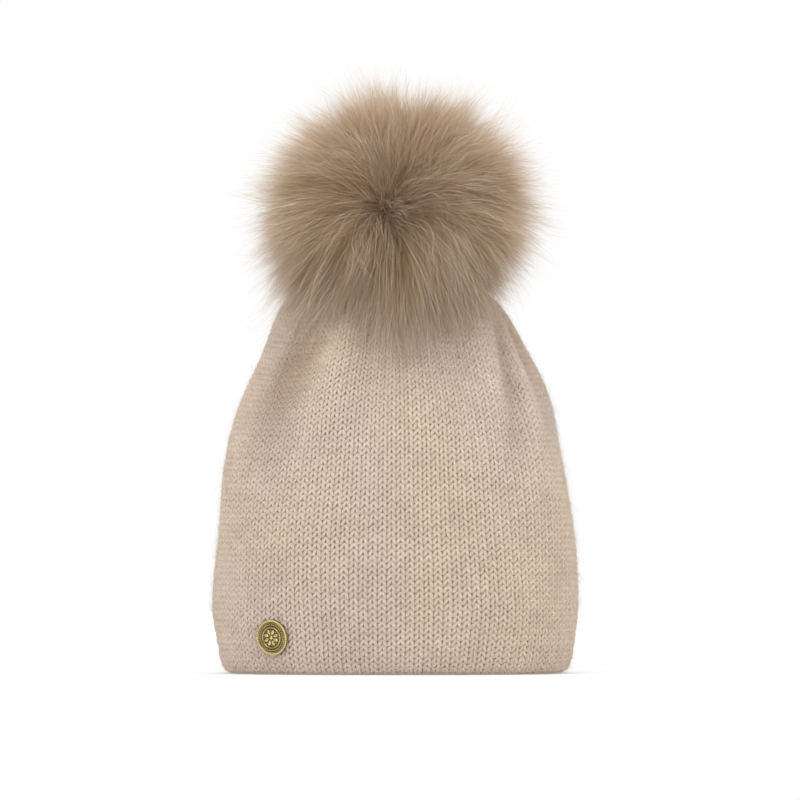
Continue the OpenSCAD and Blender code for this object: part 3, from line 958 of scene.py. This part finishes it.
def relief(radius, angle, badge_r):
    """The medallion's height at a place on its face: border, beads, rings and a plain rosette."""
    r = radius / badge_r

    def ridge(at, width):
        return np.exp(-((r - at) / width) ** 2)

    beads = 36
    bead_angle = (angle * beads / (2 * math.pi)) % 1 - 0.5
    bead_place = np.hypot((r - 0.715) * badge_r, bead_angle * 2 * math.pi / beads * radius)
    bead = np.sqrt(np.clip(1 - (bead_place / (0.5 * MM)) ** 2, 0, 1)) * 0.42
    petals = 8
    petal_angle = (angle * petals / (2 * math.pi)) % 1 - 0.5
    petal_half = 0.42 * np.clip(1 - ((r - 0.29) / 0.19) ** 2, 0, 1)
    petal = np.sqrt(np.clip(1 - (petal_angle / np.maximum(petal_half, 1e-6)) ** 2, 0, 1))
    petal = np.where((r > 0.10) & (r < 0.48), petal * 0.72 - 0.3 * np.exp(-(petal_angle / 0.05) ** 2), 0)
    small_angle = (angle * petals / (2 * math.pi) + 0.5) % 1 - 0.5
    seed_place = np.hypot((r - 0.43) * badge_r, small_angle * 2 * math.pi / petals * radius)
    seed = np.sqrt(np.clip(1 - (seed_place / (0.42 * MM)) ** 2, 0, 1)) * 0.38
    boss = np.sqrt(np.clip(1 - (r / 0.11) ** 2, 0, 1)) * 0.8
    rings = 0.6 * ridge(0.58, 0.022) + 0.4 * ridge(0.53, 0.012) + 0.4 * ridge(0.82, 0.02)
    dome = 0.35 * (1 - r ** 2)
    return (dome + rings + bead + np.maximum(np.maximum(petal, seed), boss)) * MM


def relief_floor(radius, badge_r):
    """The height of the medallion's ground without its ornament."""
    return 0.35 * (1 - (radius / badge_r) ** 2) * MM


def in_scene(points, place):
    """Points of the badge's own frame in the scene."""
    return points @ np.array(place.to_3x3()).T + np.array(place.translation)


def badge_face(place, badge_r, material):
    """The cast face in relief, closed behind."""
    rows, columns = 90, 288
    back, edge_light = -1.1 * MM, 0.4
    radius = np.linspace(0.0008, 1, rows)[:, None] * 0.87 * badge_r
    angle = full_turn(columns)[None]
    height = relief(radius, angle, badge_r) + 0 * angle
    front = np.stack([radius * np.cos(angle), radius * np.sin(angle), height + 0.15 * MM], axis=-1)
    rim_low = front[-1:] * np.array([1, 1, 0]) + np.array([0, 0, back])
    points = np.concatenate([front.reshape(-1, 3), rim_low.reshape(-1, 3), [[0, 0, back]]])
    faces = [grid_faces(rows + 1, columns, True)[:, ::-1], fan(columns, rows * columns, len(points) - 1)]
    # Painted light: the raised relief is tinted bright as a painted highlight, the ground dark olive as
    # painted shade, the rim in between.
    lit = np.clip((height - relief_floor(radius, badge_r)) / (0.42 * MM), 0, 1) ** 1.1
    light = np.append(lit, np.full(columns + 1, edge_light))[:, None]
    face = mesh_piece("badge_face", in_scene(points, place), faces, material, "hat", tint=opaque(light))
    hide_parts("badge_medallion")


def ring_tube(around, radius, lift, thick, sides):
    """A closed tube round the badge's axis, through the angles given."""
    outward = np.stack([np.cos(around), np.sin(around), 0 * around], axis=1)
    centres = outward * np.reshape(radius, (-1, 1))
    centres[:, 2] = lift
    return tube(centres, outward, np.full(len(around), thick), sides)


def badge_rope(place, badge_r, material):
    """The rope of three strands round the face, on its collar."""
    rope_r, strand_r, wrap_r, twists, strands = 0.925 * badge_r, 0.42 * MM, 0.36 * MM, 14, 3
    parts = []
    for strand in range(strands):
        around = full_turn(420)
        wrap = twists * around + 2 * math.pi * strand / strands
        parts.append(ring_tube(around, rope_r + wrap_r * np.cos(wrap), wrap_r * np.sin(wrap), strand_r, 10))
    parts.append(ring_tube(full_turn(240), rope_r, -0.75 * MM, 0.62 * MM, 12))
    points, faces = joined(parts)
    # Painted light: the rope is tinted brighter on its raised side and darker below, as painted highlight
    # and shade.
    light = np.clip((points[:, 2:] + 0.35 * MM) / (0.9 * MM), 0, 1)
    rope = mesh_piece("badge_rope", in_scene(points, place), faces, material, "hat", tint=opaque(light))
    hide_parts("badge_bezel")


# ---- Labels ----

def label_piece(name, node, body, material, thick, bow, ripple):
    """A strip of tape in its node's place, slightly bowed, with its fabric map."""
    low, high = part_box(node)
    columns, rows = 28, 28
    across, down = np.meshgrid(np.linspace(0, 1, columns), np.linspace(0, 1, rows))
    x = low.x + (high.x - low.x) * across
    z = high.z + (low.z - high.z) * down
    y = (low.y + high.y) / 2 - bow * down ** 1.5 + ripple * np.sin(3 * across + 4 * down) * down
    points = np.stack([x, y, z], axis=-1).reshape(-1, 3)
    uv = np.stack([x - low.x, high.z - z], axis=-1).reshape(-1, 2)
    piece = mesh_piece(name, points, grid_faces(rows, columns), material, body, uv=uv)
    thicken(piece, thick)
    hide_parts(node)
    return piece


# ---- Camera, light and floor ----

def stage():
    """A wide pale floor under the hat, in rings that widen outwards."""
    rows, columns, radius, level = 23, 64, 3.0, -0.2 * MM
    ring = np.linspace(0.0, 1.0, rows + 1)[1:, None] ** 2 * radius
    angle = full_turn(columns)[None]
    points = np.stack([ring * np.cos(angle), ring * np.sin(angle), level + 0 * ring * angle], axis=-1)
    points = np.concatenate([points.reshape(-1, 3), [[0, 0, level]]])
    faces = [grid_faces(rows, columns, True)[:, ::-1], fan(columns, 0, rows * columns)[:, ::-1]]
    mesh_object("floor", points, faces, floor_material())


def camera():
    """A long lens level with the hat, framed with the margins of a product picture."""
    frame_w = 464 * MM
    distance = 12.0
    aim = Vector((2.3 * MM, 0, 158.3 * MM))
    data = bpy.data.cameras.new("camera")
    data.sensor_width = 36
    data.lens = 36 * distance / frame_w
    data.clip_end = 100
    made = bpy.data.objects.new("camera", data)
    tilt = math.radians(0.1)
    made.location = aim + Vector((0, -distance * math.cos(tilt), distance * math.sin(tilt)))
    made.rotation_euler = (aim - made.location).to_track_quat("-Z", "Y").to_euler()
    bpy.context.scene.collection.objects.link(made)
    bpy.context.scene.camera = made


def area_light(name, place, size, power):
    data = bpy.data.lights.new(name, "AREA")
    data.shape = "DISK"
    data.size = size
    data.energy = power
    made = bpy.data.objects.new(name, data)
    made.location = place
    aim = Vector((0, 0, 0.6 * CROWN_Z))
    made.rotation_euler = (aim - made.location).to_track_quat("-Z", "Y").to_euler()
    bpy.context.scene.collection.objects.link(made)


def lights():
    """Soft even studio light, a little stronger from the upper left in front."""
    area_light("key", Vector((-0.9, -2.1, 1.7)), 1.2, 15)
    area_light("fill", Vector((1.7, -1.7, 0.9)), 1.2, 5)
    area_light("top", Vector((0.1, -0.2, 2.3)), 1.2, 9)
    area_light("back", Vector((0.4, 2.0, 1.6)), 1.8, 5)
    bpy.context.scene.world = studio_world()
    bpy.context.scene.view_settings.view_transform = "Standard"


def studio_world():
    """White behind the hat, soft light strongest from the camera's side, a dim room in the metal."""
    world = bpy.data.worlds.new("studio")
    world.use_nodes = True
    g = Graph(world.node_tree)
    split = g.node("SeparateXYZ")
    g.links.new(g.node("TexCoord").outputs["Generated"], split.inputs["Vector"])
    soft = g.span(split.outputs["Y"], -1.0, 1.0, 0.90, 0.70)
    room = g.span(split.outputs["Z"], 0.0, 0.8, 0.15, 0.9)
    rays = g.node("LightPath")
    mirrored = g.math("MULTIPLY", rays.outputs["Is Glossy Ray"], room)
    matt = g.math("MULTIPLY", g.span(rays.outputs["Is Glossy Ray"], 0.0, 1.0, 1.0, 0.0), soft)
    strength = g.math("MAXIMUM", rays.outputs["Is Camera Ray"], g.math("ADD", mirrored, matt))
    background = g.nodes["Background"]
    background.inputs["Color"].default_value = WHITE
    g.links.new(strength, background.inputs["Strength"])
    return world


# ---- Build ----

def finish_node(node, material):
    """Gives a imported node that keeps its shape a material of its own."""
    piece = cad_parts[node]
    for held in piece.material_slots:
        held.material = material


camera()
lights()
stage()

yarn = yarn_material()
knit_backing(backing_material(), knit_bands(yarn))
angora = strand_material("angora_fuzz", CREAM_PALE, 0.8, 0.4, 0.92)
for part in (1, 2):
    knit_fuzz(part, angora)
lining(jersey_material("brushed_jersey", srgb(226, 210, 194), srgb(176, 154, 134), 1.6 * MM, 1.3 * MM))

fur(strand_material("fur_hair", (*FUR_MID, 1), 0.55, 0.25, 0.86))
suede = leather_material("suede", srgb(140, 104, 74), srgb(96, 68, 46))
felt = felt_material()
pom_inside(felt, leather_material("pelt_leather", srgb(150, 122, 96), srgb(104, 80, 60)))

gold = gold_material()
badge_face(*badge_place(), gold)
badge_rope(*badge_place(), gold)

woven = label_material("woven_tape", srgb(236, 228, 214), srgb(206, 194, 176), 0.6, 0.9 * MM, 0.7 * MM)
satin = label_material("satin_tape", srgb(244, 243, 240), srgb(226, 225, 222), 0.35, 0.5 * MM, 1.6 * MM)
label_piece("woven_label", "neck_label", "hat", woven, 0.5 * MM, 0.0, 0.08 * MM)
label_piece("satin_care_label", "care_label", "label", satin, 0.3 * MM, 0.9 * MM, 0.25 * MM)

nickel = metal_material("nickel_plate", srgb(214, 212, 206), srgb(150, 146, 138), 0.28, 0.02 * MM)
wire = metal_material("spring_wire", srgb(140, 140, 142), srgb(84, 84, 86), 0.4, 0.02 * MM)
brass = metal_material("badge_brass", GOLD, GOLD_DARK, 0.3, 0.02 * MM)
thread = thread_material()
for node in ("snap_post_cap", "snap_stud", "snap_socket", "snap_socket_ring", "badge_washer"):
    finish_node(node, nickel)
for node in ("hem_stitches", "pom_base_stitches", "pom_draw_thread", "neck_label_stitches",
             "back_seam", "crown_gather_yarn"):
    finish_node(node, thread)
finish_node("snap_spring", wire)
finish_node("badge_posts", brass)
finish_node("crown_patch", felt)
finish_node("pom_base", suede)
